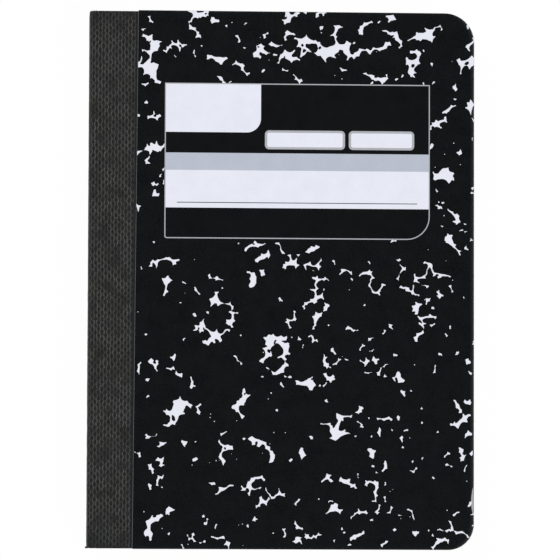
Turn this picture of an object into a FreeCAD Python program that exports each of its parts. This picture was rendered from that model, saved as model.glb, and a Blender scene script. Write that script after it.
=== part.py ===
import FreeCAD, Part
import math
import os
import random

# A pocket memo book: sewn leaves between two marbled card covers, held by a cloth tape round the spine.
# It lies shut on its back cover. The origin is on the table under the middle of the book,
# +X runs from the spine to the fore edge, +Y from the tail to the head, and +Z is up.
# Lengths are in millimetres and angles in radians.

# Covers
cover_width = 82.0              # from the outside of the spine tape to the fore edge
cover_height = 114.3            # from the tail edge to the head edge
head_corner_radius = 6.35       # fore edge corners, cut by a die
tail_corner_radius = 5.5
board_thickness = 0.50
lining_thickness = 0.12         # the end leaf pasted inside each board

# Leaves
leaf_count = 80
leaf_thickness = 0.083
leaf_inset = 0.15               # the leaves stop this far inside the boards

# Spine tape
tape_thickness = 0.22           # over its ribs
tape_pressed_in = 0.10          # how far the tape is pressed into each board
rib_pitch = 0.70
rib_depth = 0.06
front_reach_head = 10.4         # from the spine to the tape's cut edge, which runs a little askew
front_reach_tail = 9.7
back_reach_head = 9.9
back_reach_tail = 10.2
tape_short_head = 0.25          # the tape and the card under it stop this far short of the boards' ends
tape_short_tail = 0.10
spine_corner_radius = 1.0
glue_gap = 0.03                 # paste between the tape and the fold

# Cover hinges
hinge_inset = 1.8               # from the outside of the spine to the line where a cover turns
hinge_clearance = 0.10          # from that line to the board on one side and to the fold on the other

# Sewing
thread_diameter = 0.50
leg_diameter = 0.42             # the thread is pulled thinner where it passes through the fold
thread_clearance = 0.04
stitch_length = 12.0
stitch_count = 8
stitch_depth = 3.0              # from the outer run of thread to the inner one, through the fold

# Print on the covers
print_thickness = 0.03
label_from_spine = 16.08
label_from_head = 15.44
label_width = 56.43
label_height = 33.1
label_sharp_corner = 0.5        # the corner beside the spine at the tail
label_round_corner = 4.9        # the corner beside the fore edge at the tail
border_width = 0.22
tab_width = 20.2
tab_height = 10.25
tab_corner = 3.0
grey_band_from_label_head = 14.87
grey_band_height = 3.69
white_band_height = 8.0
rule_from_label_sides = 2.63
rule_above_band_tail = 1.03
rule_width = 0.18
title_past_tab = 0.85
title_from_label_fore = 3.33
title_from_label_head = 9.97
title_height = 4.05
title_first_share = 0.55        # the first bar's share of the title's width
title_bar_space = 0.8
title_corner = 0.9
title_outline_width = 0.5

# Marbling: round drops of black ink crowd each other, and the pale card shows bare between them
front_ink_seed = 11
back_ink_seed = 29
large_drop_radii = (2.4, 4.6)
small_drop_radii = (0.40, 2.1)
large_drop_tries = 700
small_drop_tries = 12000
front_ink_spread = 0.50         # how far each drop spreads after it lands
back_ink_spread = 0.36
ink_spread_at_vein = 0.36       # and how far it does beside a bare vein near the head
vein_thinning = 0.12            # it spreads this much farther beside one near the tail
vein_thinning_starts = 20.0     # from the head
vein_thinning_ends = 60.0
vein_half_width = 0.30          # drops land this far from a vein's middle, or farther
vein_reach = 1.0                # drops farther than this from a vein spread almost in full
ink_spread_unevenness = 0.06
ink_margin = 4.0                # drops fall this far past the cover too
drop_cell = 3.0                 # side of the square cells that the drops are looked up in
shortest_rim = 0.7              # a bare stretch of rim shorter than this is drawn with no corner
rim_step = 1.3                  # a drop's rim is drawn with a corner about this often, in radians
least_front_fleck_side = 1.1    # bare spots smaller than a square of this side are left out
least_back_fleck_side = 2.6
fleck_edge_margin = 0.12        # the flecks stop this far inside a cover's cut edge

# Veins that the ink left bare on the front cover, as lines through points given from the spine and the head
front_veins = [
    [(12.2, 6.2), (14.4, 8.4), (17.4, 8.4), (18.4, 6.4), (20.6, 7.7)],
    [(12.3, 9.4), (14.0, 12.4), (12.2, 16.0)], [(21.6, 3.4), (22.9, 6.0)],
    [(20.6, 0.2), (22.4, 0.8), (25.4, 0.4)], [(31.4, 11.4), (32.4, 13.3), (34.2, 13.3)],
    [(35.4, 9.3), (37.2, 8.4), (37.0, 6.2)], [(37.2, 8.4), (39.6, 9.8)],
    [(42.9, 0.6), (41.6, 3.0), (42.3, 5.0)], [(43.0, 10.0), (46.2, 9.2)],
    [(41.4, 8.9), (44.6, 7.4), (46.3, 5.6), (49.4, 7.7), (52.6, 8.4), (56.6, 9.2), (58.2, 7.8)],
    [(58.2, 7.8), (62.6, 8.1), (64.4, 6.6), (64.6, 4.0)], [(51.2, 1.8), (52.8, 6.2), (52.0, 9.8)],
    [(57.4, 0.2), (58.6, 2.0), (56.2, 6.0)], [(58.6, 2.0), (62.2, 2.1), (63.0, 0.4)],
    [(68.8, 5.8), (71.0, 4.8), (73.0, 3.0)], [(67.7, 10.3), (69.2, 11.3)],
    [(60.9, 12.9), (61.6, 14.8), (64.8, 14.4)], [(81.9, 5.4), (81.2, 9.8), (79.2, 13.0), (78.0, 16.6)],
    [(13.0, 22.2), (15.6, 22.2)], [(12.4, 30.3), (15.4, 29.6)], [(13.2, 36.6), (15.0, 39.4)],
    [(72.8, 23.2), (76.2, 22.8)], [(73.8, 35.4), (77.0, 34.4), (77.0, 36.4)],
    [(13.2, 53.6), (18.6, 53.2)], [(16.2, 59.8), (16.4, 58.2), (18.4, 57.8)],
    [(36.4, 48.8), (36.4, 52.0), (38.0, 52.4)], [(39.4, 49.4), (41.2, 50.8), (43.8, 52.8), (47.8, 50.6)],
    [(32.6, 54.4), (34.8, 56.6), (34.2, 59.4)], [(34.8, 56.6), (37.6, 56.4), (38.0, 54.0)],
    [(25.2, 64.0), (27.0, 62.6), (29.8, 61.6), (30.6, 64.0), (29.3, 68.4), (24.2, 70.6)],
    [(45.6, 64.2), (48.0, 60.6), (50.4, 61.6), (50.4, 64.0), (48.2, 65.0), (48.6, 67.0)],
    [(38.0, 69.0), (39.6, 70.2), (42.4, 70.4), (42.9, 72.4)], [(41.8, 73.6), (41.6, 76.6), (43.2, 77.8)],
    [(37.2, 71.8), (37.6, 73.8), (36.6, 74.8)], [(71.8, 55.0), (70.8, 57.4), (68.0, 59.0)],
    [(70.6, 62.4), (69.6, 63.8), (70.4, 65.0)], [(80.6, 48.6), (80.4, 50.6)],
    [(10.8, 75.0), (11.2, 77.6)], [(13.4, 74.4), (17.8, 76.4)], [(46.0, 79.4), (50.4, 79.0), (51.2, 77.6)],
    [(60.8, 76.8), (64.4, 74.9)], [(32.8, 79.6), (33.6, 81.2), (31.2, 83.2), (31.8, 85.8)],
    [(20.2, 85.8), (20.4, 84.6), (24.2, 83.4)], [(17.0, 87.0), (18.2, 85.2), (19.0, 87.0)],
    [(53.2, 86.2), (53.6, 89.0), (53.0, 90.8)], [(77.4, 83.6), (79.0, 85.2), (80.6, 85.6)],
    [(69.0, 85.6), (72.6, 88.0)], [(32.8, 90.2), (37.4, 93.2), (39.8, 95.0)],
    [(79.0, 92.0), (79.9, 93.8), (78.0, 96.6)], [(60.2, 89.7), (63.9, 91.0)],
    [(34.2, 99.8), (33.6, 101.2), (34.4, 102.8)], [(48.6, 104.0), (51.0, 99.0)],
    [(54.0, 99.2), (56.0, 101.4)], [(58.8, 100.5), (63.2, 100.7)], [(64.2, 105.0), (65.7, 110.0)],
    [(13.2, 106.8), (13.0, 109.8)], [(22.4, 111.2), (22.6, 113.4), (25.0, 112.6)],
    [(27.2, 112.0), (30.2, 112.8)], [(46.0, 111.8), (49.8, 111.2)],
    [(58.4, 110.0), (56.6, 112.0), (55.0, 114.0)], [(76.2, 110.2), (81.0, 111.4)],
    [(73.2, 114.0), (76.4, 112.4)],
]

# Worked out from the sizes above
x_spine = -cover_width / 2
x_fore = cover_width / 2
x_hinge = x_spine + hinge_inset
x_board = x_hinge + hinge_clearance
y_tail = -cover_height / 2
y_head = cover_height / 2
tape_proud = tape_thickness - tape_pressed_in
block_thickness = leaf_count * leaf_thickness
cover_thickness = board_thickness + lining_thickness
book_thickness = block_thickness + 2 * (cover_thickness + tape_proud)
z_block = tape_proud + cover_thickness
z_lining = z_block + block_thickness
z_board = z_lining + lining_thickness
z_cover_face = z_board + board_thickness
z_middle = book_thickness / 2


def vector(x, y, z=0.0):
    return FreeCAD.Vector(x, y, z)


def box(x0, x1, y0, y1, z0, z1):
    return Part.makeBox(x1 - x0, y1 - y0, z1 - z0, vector(x0, y0, z0))


def slab(face, z, thickness):
    """A flat face, drawn at height 0, lifted to z and thickened upward."""
    raised = face.copy()
    raised.translate(vector(0, 0, z))
    return raised.extrude(vector(0, 0, thickness))


def outline(x0, x1, y0, y1, radii=(0, 0, 0, 0)):
    """A rectangle with rounded corners, in the order tail spine, tail fore, head fore, head spine."""
    corners = [(x0, y0, 1, 1), (x1, y0, -1, 1), (x1, y1, -1, -1), (x0, y1, 1, -1)]
    edges = []
    stops = []
    for index, (x, y, inward_x, inward_y) in enumerate(corners):
        radius = radii[index]
        along_x = vector(x + inward_x * radius, y)
        along_y = vector(x, y + inward_y * radius)
        first, last = (along_y, along_x) if index % 2 == 0 else (along_x, along_y)
        stops.append((first, last))
        if radius > 0:
            bulge = radius * (1 - math.sqrt(0.5))
            middle = vector(x + inward_x * bulge, y + inward_y * bulge)
            edges.append(Part.Arc(first, middle, last).toShape())
    for index in range(4):
        start = stops[index][1]
        end = stops[(index + 1) % 4][0]
        edges.append(Part.LineSegment(start, end).toShape())
    return Part.Face(Part.Wire(Part.__sortEdges__(edges)))


def polygon(points):
    return Part.Face(Part.makePolygon([vector(*point) for point in points + points[:1]]))


def turned_over(shape):
    """The same piece on the other side of the leaves."""
    return shape.mirror(vector(0, 0, z_middle), vector(0, 0, 1))


# ---- leaves and thread ----

def thread_start():
    """The tail end of the outer run of thread, on its centre line."""
    x_outer = x_spine + tape_thickness + glue_gap + thread_clearance + thread_diameter / 2
    return vector(x_outer, -stitch_length * stitch_count / 2, z_middle)


def stitch_places():
    start = thread_start()
    return [start + vector(0, (index + 0.5) * stitch_length, 0) for index in range(stitch_count)]


def sewing_thread():
    """The runs of thread outside and inside the fold, joined by the legs that pass through it."""
    radius = thread_diameter / 2
    outer_run = Part.makeCylinder(radius, stitch_length * stitch_count, thread_start(), vector(0, 1, 0))
    inner_run = outer_run.copy()
    inner_run.translate(vector(stitch_depth, 0, 0))
    legs = []
    for place in stitch_places():
        legs.append(Part.makeCylinder(leg_diameter / 2, stitch_depth, place, vector(1, 0, 0)))
    return outer_run.fuse([inner_run] + legs)


def thread_room():
    """What the thread takes out of the fold: a groove outside, a tunnel inside and the needle's slits."""
    start = thread_start()
    half = thread_diameter / 2 + thread_clearance
    ends = (start.y - thread_clearance, -start.y + thread_clearance)
    low = z_middle - half
    high = z_middle + half
    x_inner = start.x + stitch_depth
    groove = box(x_spine, start.x + half, *ends, low, high)
    tunnel = box(x_inner - half, x_inner + half, *ends, low, high)
    slits = []
    for place in stitch_places():
        slits.append(box(start.x, x_inner, place.y - half, place.y + half, low, high))
    return groove.fuse([tunnel] + slits)


def fold_section():
    """The end view of the leaves: a flat stack that swells at its fold to meet the tape all round."""
    inset = tape_thickness + glue_gap
    radius = spine_corner_radius - inset
    x_swell = x_hinge - hinge_clearance
    x_round = x_spine + spine_corner_radius
    x_end = x_fore - leaf_inset
    low = inset
    high = book_thickness - inset
    diagonal = radius * math.sqrt(0.5)
    z_low_round = spine_corner_radius
    z_high_round = book_thickness - spine_corner_radius

    def at(x, z):
        return vector(x, 0, z)

    def line(a, b):
        return Part.LineSegment(a, b).toShape()

    upper_arc = Part.Arc(at(x_round, high),
                         at(x_round - diagonal, z_high_round + diagonal), at(x_round - radius, z_high_round))
    lower_arc = Part.Arc(at(x_round - radius, z_low_round),
                         at(x_round - diagonal, z_low_round - diagonal), at(x_round, low))
    edges = [
        line(at(x_end, z_block), at(x_end, z_lining)),
        line(at(x_end, z_lining), at(x_swell, z_lining)),
        line(at(x_swell, z_lining), at(x_swell, high)),
        line(at(x_swell, high), at(x_round, high)),
        upper_arc.toShape(),
        line(at(x_round - radius, z_high_round), at(x_round - radius, z_low_round)),
        lower_arc.toShape(),
        line(at(x_round, low), at(x_swell, low)),
        line(at(x_swell, low), at(x_swell, z_block)),
        line(at(x_swell, z_block), at(x_end, z_block)),
    ]
    return Part.Face(Part.Wire(edges))


def page_block():
    section = fold_section()
    section.translate(vector(0, y_tail, 0))
    stack = section.extrude(vector(0, cover_height, 0))
    trim = leaf_outline(x_spine)
    return stack.common(slab(trim, 0, book_thickness)).cut(thread_room())


def leaf_outline(x_start):
    radii = (0, tail_corner_radius - leaf_inset, head_corner_radius - leaf_inset, 0)
    return outline(x_start, x_fore - leaf_inset, y_tail + leaf_inset, y_head - leaf_inset, radii)


# ---- covers ----

def tape_field(reach_head, reach_tail):
    """The part of a cover that the tape lies on."""
    low = y_tail + tape_short_tail
    high = y_head - tape_short_head
    return polygon([
        (x_hinge, low), (x_spine + reach_tail, low), (x_spine + reach_head, high), (x_hinge, high),
    ])


def cover_outline(inset=0.0):
    radii = (0, tail_corner_radius - inset, head_corner_radius - inset, 0)
    return outline(x_board, x_fore - inset, y_tail + inset, y_head - inset, radii)


def past_tape_end(reach_head, reach_tail):
    """The two strips of a cover trimmed off level with the tape's ends."""
    head = box(x_spine, x_spine + reach_head, y_head - tape_short_head, y_head, z_board, z_cover_face)
    tail = box(x_spine, x_spine + reach_tail, y_tail, y_tail + tape_short_tail, z_board, z_cover_face)
    return head.fuse(tail)


def board(reach_head, reach_tail):
    """A card board in the front cover's place, pressed down where the tape grips it."""
    card = slab(cover_outline(), z_board, board_thickness).cut(past_tape_end(reach_head, reach_tail))
    field = tape_field(reach_head, reach_tail)
    return card.cut(slab(field, z_cover_face - tape_pressed_in, tape_pressed_in))


def lining():
    return slab(leaf_outline(x_board), z_lining, lining_thickness)


def tape_flange(reach_head, reach_tail):
    """The flat of the tape on a cover, ribbed along the spine, from the hinge line to its cut edge."""
    z_under = z_cover_face - tape_pressed_in
    z_ribs = z_under + tape_thickness
    rib_total = math.ceil(max(reach_head, reach_tail) / rib_pitch) + 1
    profile = []
    for index in range(rib_total):
        x = x_hinge + index * rib_pitch
        profile.append((x, 0, z_ribs))
        profile.append((x + rib_pitch / 2, 0, z_ribs - rib_depth))
    profile.append((profile[-1][0], 0, z_under))
    profile.append((x_hinge, 0, z_under))
    section = polygon(profile)
    section.translate(vector(0, y_tail, 0))
    ribbed = section.extrude(vector(0, cover_height, 0))
    return ribbed.common(slab(tape_field(reach_head, reach_tail), z_under, tape_thickness))


def spine_line_point(distance, depth):
    """A point of the tape's outer line in the end view, from the front hinge round to the back one."""
    radius = spine_corner_radius
    flat = hinge_inset - radius
    quarter = radius * math.pi / 2
    drop = book_thickness - 2 * radius
    x_centre = x_spine + radius
    if distance <= flat:
        return x_hinge - distance, book_thickness - depth
    if distance <= flat + quarter:
        turn = (distance - flat) / radius
        reach = radius - depth
        return x_centre - reach * math.sin(turn), book_thickness - radius + reach * math.cos(turn)
    if distance <= flat + quarter + drop:
        return x_spine + depth, book_thickness - radius - (distance - flat - quarter)
    x, z = spine_line_point(2 * (flat + quarter) + drop - distance, depth)
    return x, book_thickness - z


def spine_tape():
    """The stretch of tape that wraps the fold, between the two hinge lines."""
    line_length = 2 * hinge_inset + (math.pi - 4) * spine_corner_radius + book_thickness
    rib_total = round(line_length / rib_pitch)
    step = line_length / rib_total
    outer = [spine_line_point(0, 0)]
    for index in range(rib_total):
        outer.append(spine_line_point((index + 0.5) * step, rib_depth))
        outer.append(spine_line_point((index + 1) * step, 0))
    points = [vector(x, 0, z) for x, z in outer]
    edges = [Part.LineSegment(a, b).toShape() for a, b in zip(points, points[1:])]
    inner = [vector(x, 0, z) for x, z in inner_spine_stops()]
    edges.append(Part.LineSegment(points[-1], inner[0]).toShape())
    edges.append(Part.LineSegment(inner[0], inner[1]).toShape())
    edges.append(Part.Arc(inner[1], inner[2], inner[3]).toShape())
    edges.append(Part.LineSegment(inner[3], inner[4]).toShape())
    edges.append(Part.Arc(inner[4], inner[5], inner[6]).toShape())
    edges.append(Part.LineSegment(inner[6], inner[7]).toShape())
    edges.append(Part.LineSegment(inner[7], points[0]).toShape())
    section = Part.Face(Part.Wire(edges))
    section.translate(vector(0, y_tail + tape_short_tail, 0))
    return section.extrude(vector(0, cover_height - tape_short_tail - tape_short_head, 0))


def inner_spine_stops():
    """Corners and arc middles of the tape's inner line, from the back hinge round to the front one."""
    flat = hinge_inset - spine_corner_radius
    quarter = spine_corner_radius * math.pi / 2
    drop = book_thickness - 2 * spine_corner_radius
    stops = [0, flat, flat + quarter / 2, flat + quarter]
    stops += [stop + quarter + drop for stop in stops[1:]]
    stops.append(2 * (flat + quarter) + drop)
    return [spine_line_point(stop, tape_thickness) for stop in reversed(stops)]


# ---- label on the front cover ----

def from_spine(distance):
    return x_spine + distance


def from_head(distance):
    return y_head - distance


def label_field(inset):
    left = from_spine(label_from_spine)
    top = from_head(label_from_head)
    right = left + label_width
    bottom = top - label_height
    radii = (max(label_sharp_corner - inset, 0), label_round_corner - inset, 0, 0)
    return outline(left + inset, right - inset, bottom + inset, top - inset, radii)


def label_part(side, drop, width, height, radii=(0, 0, 0, 0)):
    """A field inside the label, placed from the label's spine side and from its head."""
    left = from_spine(label_from_spine + side)
    top = from_head(label_from_head + drop)
    return outline(left, left + width, top - height, top, radii)


def tab_field():
    return label_part(border_width, border_width, tab_width, tab_height, (0, tab_corner, 0, 0))


def band_field(drop, height):
    return label_part(border_width, drop, label_width - 2 * border_width, height)


def grey_band_field():
    return band_field(grey_band_from_label_head, grey_band_height)


def white_band_field():
    return band_field(grey_band_from_label_head + grey_band_height, white_band_height)


def rule_field():
    band_tail = grey_band_from_label_head + grey_band_height + white_band_height
    drop = band_tail - rule_above_band_tail - rule_width
    return label_part(rule_from_label_sides, drop, label_width - 2 * rule_from_label_sides, rule_width)


def title_fields(inset):
    """Two plain rounded bars, side by side, where a title would stand."""
    bars = []
    side = border_width + tab_width + title_past_tab
    bars_width = label_width - title_from_label_fore - side - title_bar_space
    for share in (title_first_share, 1 - title_first_share):
        width = bars_width * share
        drop = title_from_label_head + inset
        radii = (title_corner - inset,) * 4
        bars.append(label_part(side + inset, drop, width - 2 * inset, title_height - 2 * inset, radii))
        side += width + title_bar_space
    return bars


def printed(face):
    return slab(face, z_cover_face, print_thickness)


def group(shapes):
    return Part.makeCompound(shapes)


def label_nodes():
    tab = tab_field()
    grey_band = grey_band_field()
    white_band = white_band_field()
    rule = rule_field()
    title_outer = title_fields(0.0)
    title_inner = title_fields(title_outline_width)
    panel = label_field(border_width)
    for piece in [tab, grey_band, white_band] + title_outer:
        panel = panel.cut(piece)
    rings = [outer.cut(inner) for outer, inner in zip(title_outer, title_inner)]
    return {
        "label_border": printed(label_field(0.0).cut(label_field(border_width))),
        "label_panel": group([printed(face) for face in panel.Faces]),
        "label_tab": printed(tab),
        "label_grey_band": printed(grey_band),
        "label_white_band": printed(white_band.cut(rule)),
        "label_rule_line": printed(rule),
        "label_title_outlines": group([printed(ring) for ring in rings]),
        "label_title_bars": group([printed(bar) for bar in title_inner]),
    }


# ---- marbling ----

def vein_runs(veins):
    """The straight runs of the veins, each as its start, its way to the end, and its length squared."""
    runs = []
    for vein in veins:
        for (x, y), (x_end, y_end) in zip(vein, vein[1:]):
            runs.append((x, y, x_end - x, y_end - y, (x_end - x) ** 2 + (y_end - y) ** 2))
    return runs


def from_vein(runs, x, y):
    """How far a place is from the nearest vein; far off when there are none."""
    nearest = cover_height
    for start_x, start_y, way_x, way_y, length_squared in runs:
        share = ((x - start_x) * way_x + (y - start_y) * way_y) / length_squared
        share = min(max(share, 0.0), 1.0)
        nearest = min(nearest, math.hypot(start_x + way_x * share - x, start_y + way_y * share - y))
    return nearest


def drops_near(cells, x, y, reach):
    """The drops in the square cells round a place, each with its number."""
    columns = range(math.floor((x - reach) / drop_cell), math.floor((x + reach) / drop_cell) + 1)
    rows = range(math.floor((y - reach) / drop_cell), math.floor((y + reach) / drop_cell) + 1)
    for column in columns:
        for row in rows:
            yield from cells.get((column, row), ())


def put_drop(cells, number, x, y, radius):
    cell = (math.floor(x / drop_cell), math.floor(y / drop_cell))
    cells.setdefault(cell, []).append((number, x, y, radius))


def fallen_drops(chance, runs):
    """Drops of ink as (x, y, radius, how far its rim is from a vein's ink line).

    Large ones come first, then smaller ones that fill the room left.
    """
    cells = {}
    drops = []
    sizes = ((large_drop_tries, large_drop_radii), (small_drop_tries, small_drop_radii))
    for tries, (least, most) in sizes:
        for _ in range(tries):
            x = chance.uniform(-ink_margin, cover_width + ink_margin)
            y = chance.uniform(-ink_margin, cover_height + ink_margin)
            radius = chance.uniform(least, most)
            free = from_vein(runs, x, y) - vein_half_width
            radius = min(radius, free)
            if radius < least:
                continue
            for number, a, b, other in drops_near(cells, x, y, radius + large_drop_radii[1]):
                radius = min(radius, math.hypot(x - a, y - b) - other)
            if radius >= least:
                put_drop(cells, len(drops), x, y, radius)
                drops.append((x, y, radius, free - radius))
    return drops


def spread_at_vein(y):
    """How far the ink spreads beside a vein, at a distance from the head."""
    share = (y - vein_thinning_starts) / (vein_thinning_ends - vein_thinning_starts)
    return ink_spread_at_vein + vein_thinning * min(max(share, 0.0), 1.0)


def ink_drops(seed, veins, ink_spread):
    """The drops in the book's frame, after the ink has spread."""
    chance = random.Random(seed)
    spread = []
    for x, y, radius, vein_gap in fallen_drops(chance, vein_runs(veins)):
        beside_vein = math.exp(-(vein_gap / vein_reach) ** 2)
        growth = ink_spread + (spread_at_vein(y) - ink_spread) * beside_vein
        growth += chance.uniform(-ink_spread_unevenness, ink_spread_unevenness)
        spread.append((from_spine(x), from_head(y), radius + growth))
    return spread


def overlaps(drops):
    """For each drop, the drops that overlap it, with the two angles between which each hides its rim."""
    cells = {}
    widest = max(radius for x, y, radius in drops)
    for number, (x, y, radius) in enumerate(drops):
        put_drop(cells, number, x, y, radius)
    found = []
    for number, (x, y, radius) in enumerate(drops):
        hidden = []
        for other, a, b, other_radius in drops_near(cells, x, y, radius + widest):
            distance = math.hypot(a - x, b - y)
            if other == number or distance >= radius + other_radius:
                continue
            middle = math.atan2(b - y, a - x)
            half = math.acos((distance ** 2 + radius ** 2 - other_radius ** 2) / (2 * distance * radius))
            start = (middle - half) % (2 * math.pi)
            hidden.append((start, start + 2 * half, other))
        found.append(sorted(hidden))
    return found


def bare_arcs(hidden):
    """The stretches of a rim that no other drop covers, as (start, end, drop before, drop after)."""
    if not hidden:
        return []
    arcs = []
    last_end, holder = max((end, other) for start, end, other in hidden)
    reach = last_end - 2 * math.pi
    for start, end, other in hidden:
        if start > reach:
            arcs.append((reach, start, holder, other))
        if end > reach:
            reach, holder = end, other
    return arcs


def rim_loops(drops):
    """Closed loops of points round the bare card, drawn along the bare stretches of the drops' rims."""
    arcs = {}
    loops = []
    for number, hidden in enumerate(overlaps(drops)):
        if not hidden:
            loops.append(rim_points(drops[number], 0, 2 * math.pi))
        for start, end, before, after in bare_arcs(hidden):
            arcs[(number, before)] = (start, end, after)
    while arcs:
        number, before = next(iter(arcs))
        loop = []
        while (number, before) in arcs:
            start, end, after = arcs.pop((number, before))
            loop += rim_points(drops[number], start, end)
            number, before = after, number
        loops.append(loop)
    return loops


def rim_points(drop, start, end):
    """Corners along a drop's rim, from the start angle up to just before the end angle.

    A very short stretch gets none, so the line runs straight past it.
    """
    x, y, radius = drop
    if (end - start) * radius < shortest_rim:
        return []
    steps = max(1, round((end - start) / rim_step))
    angles = [start + (end - start) * step / steps for step in range(steps)]
    return [(x + radius * math.cos(angle), y + radius * math.sin(angle)) for angle in angles]


def signed_area(loop):
    return sum(a[0] * b[1] - b[0] * a[1] for a, b in zip(loop, loop[1:] + loop[:1])) / 2


def flecks(drops, field, least_side):
    """The bare card that shows between the drops, as flat faces inside a field of the cover."""
    loops = rim_loops(drops)
    bare = [polygon(loop) for loop in loops if signed_area(loop) < -least_side ** 2]
    islands = [polygon(loop) for loop in loops if signed_area(loop) > 0 and len(loop) > 2]
    pieces = []
    for face in bare:
        if not face.BoundBox.intersect(field.BoundBox):
            continue
        for island in islands:
            if face.BoundBox.isInside(island.BoundBox):
                face = face.cut(island)
        pieces += [piece for piece in face.common(field).Faces if piece.Area >= least_side ** 2]
    return pieces


def marbled_field(reach_head, reach_tail):
    """The part of a cover that shows its marbling."""
    past_tape = polygon([
        (x_spine + reach_tail, y_tail), (x_fore, y_tail),
        (x_fore, y_head), (x_spine + reach_head, y_head),
    ])
    return cover_outline(fleck_edge_margin).common(past_tape)


def front_marbling():
    field = marbled_field(front_reach_head, front_reach_tail).cut(label_field(0.0))
    drops = ink_drops(front_ink_seed, front_veins, front_ink_spread)
    faces = flecks(drops, field, least_front_fleck_side)
    return group([printed(face) for face in faces])


def marbled_back():
    """The back board and its marbling, which is let in level with the face the book lies on."""
    field = marbled_field(back_reach_head, back_reach_tail)
    z_under = z_cover_face - print_thickness
    drops = ink_drops(back_ink_seed, [], back_ink_spread)
    faces = flecks(drops, field, least_back_fleck_side)
    marbling = group([slab(face, z_under, print_thickness) for face in faces])
    card = board(back_reach_head, back_reach_tail).cut(marbling)
    return {"back_cover": turned_over(card), "back_marbling": turned_over(marbling)}


def build():
    nodes = {
        "page_block": page_block(),
        "sewing_thread": sewing_thread(),
        "spine_tape": spine_tape(),
        "front_cover": board(front_reach_head, front_reach_tail),
        "front_lining": lining(),
        "front_tape_flange": tape_flange(front_reach_head, front_reach_tail),
        "front_marbling": front_marbling(),
        "back_lining": turned_over(lining()),
        "back_tape_flange": turned_over(tape_flange(back_reach_head, back_reach_tail)),
    }
    nodes.update(marbled_back())
    nodes.update(label_nodes())
    os.makedirs("parts", exist_ok=True)
    for name, shape in nodes.items():
        shape.exportStep(f"parts/{name}.step")


build()
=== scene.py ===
import math
import random

import bmesh
import bpy
import numpy as np
from mathutils import Euler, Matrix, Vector


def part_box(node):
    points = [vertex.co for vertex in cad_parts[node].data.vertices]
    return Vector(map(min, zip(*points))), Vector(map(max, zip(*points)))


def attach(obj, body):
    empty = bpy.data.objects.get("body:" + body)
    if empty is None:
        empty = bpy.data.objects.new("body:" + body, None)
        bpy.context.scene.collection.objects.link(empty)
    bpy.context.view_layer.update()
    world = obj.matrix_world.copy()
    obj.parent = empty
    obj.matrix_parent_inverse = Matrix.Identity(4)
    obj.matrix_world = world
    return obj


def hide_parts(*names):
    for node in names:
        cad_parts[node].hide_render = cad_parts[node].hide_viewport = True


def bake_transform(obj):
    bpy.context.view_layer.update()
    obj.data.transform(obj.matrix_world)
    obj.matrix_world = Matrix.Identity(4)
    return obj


# A pocket marbled memo book seen from above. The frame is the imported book, in metres:
# +X runs from the spine to the fore edge, +Y from the tail to the head, +Z is up.
# Lengths below are in millimetres and angles in degrees, unless a comment says otherwise.

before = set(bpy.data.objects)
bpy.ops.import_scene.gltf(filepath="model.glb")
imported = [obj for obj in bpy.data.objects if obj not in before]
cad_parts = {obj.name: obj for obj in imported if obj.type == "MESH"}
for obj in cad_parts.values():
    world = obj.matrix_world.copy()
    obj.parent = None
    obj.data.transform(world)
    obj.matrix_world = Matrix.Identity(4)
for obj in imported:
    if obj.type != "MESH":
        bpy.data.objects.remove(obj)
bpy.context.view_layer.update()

MM = 0.001


def box_mm(node):
    low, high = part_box(node)
    return low / MM, high / MM


front_low, front_high = box_mm("front_cover")
back_low, back_high = box_mm("back_cover")
block_low, block_high = box_mm("page_block")
spine_low, spine_high = box_mm("spine_tape")
label_low, label_high = box_mm("label_border")

# Places read from the frame
x_spine = spine_low.x
x_hinge = spine_high.x
x_board = front_low.x
x_fore = front_high.x
y_tail = front_low.y
y_head = front_high.y
z_face = front_high.z  # the front cover's printed face
z_under = front_low.z
z_back_face = back_low.z
z_back_inside = back_high.z
z_top = spine_high.z
z_middle = (spine_low.z + spine_high.z) / 2
z_block_low = box_mm("back_lining")[1].z
z_block_high = box_mm("front_lining")[0].z

# Sizes repeated from the part's source
head_corner_radius = 6.35
tail_corner_radius = 5.5
spine_corner_radius = 1.0
leaf_inset = 0.15
sheet_count = 40  # each is folded once into two leaves
tape_thickness = 0.22
rib_pitch = 0.70
tape_reaches = {"front": (10.4, 9.7), "back": (9.9, 10.2)}  # from the spine, at the head and at the tail


# ---- numbers ----

def smooth_step(value, low, high):
    share = np.clip((value - low) / (high - low), 0.0, 1.0)
    return share * share * (3 - 2 * share)


def fading(distance, reach):
    """A share that falls evenly from 1 at no distance to 0 at the reach."""
    return np.clip(1 - distance / reach, 0, 1)


def between(start, end, step):
    """Evenly spaced places from start to end, about a step apart."""
    count = max(1, round(abs(end - start) / step))
    return [start + (end - start) * index / count for index in range(count + 1)]


def blurred(field, cell, spread, column_cell=None):
    """The values of a grid softened over a spread."""
    rows = np.fft.fftfreq(field.shape[0], cell)[:, None]
    columns = np.fft.rfftfreq(field.shape[1], column_cell or cell)[None, :]
    kept = np.exp(-2 * (math.pi * spread) ** 2 * (rows ** 2 + columns ** 2))
    return np.fft.irfft2(np.fft.rfft2(field) * kept, field.shape)


def noise_field(shape, cell, wavelength, seed, column_cell=None):
    """Soft noise of unit spread on a grid, with features about a wavelength across."""
    rough = np.random.default_rng(seed).standard_normal(shape)
    soft = blurred(rough, cell, wavelength / 4, column_cell)
    return (soft - soft.mean()) / soft.std()


# ---- meshes ----

def in_scene(name, data):
    holder = bpy.data.objects.new(name, data)
    bpy.context.scene.collection.objects.link(holder)
    return holder


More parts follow.
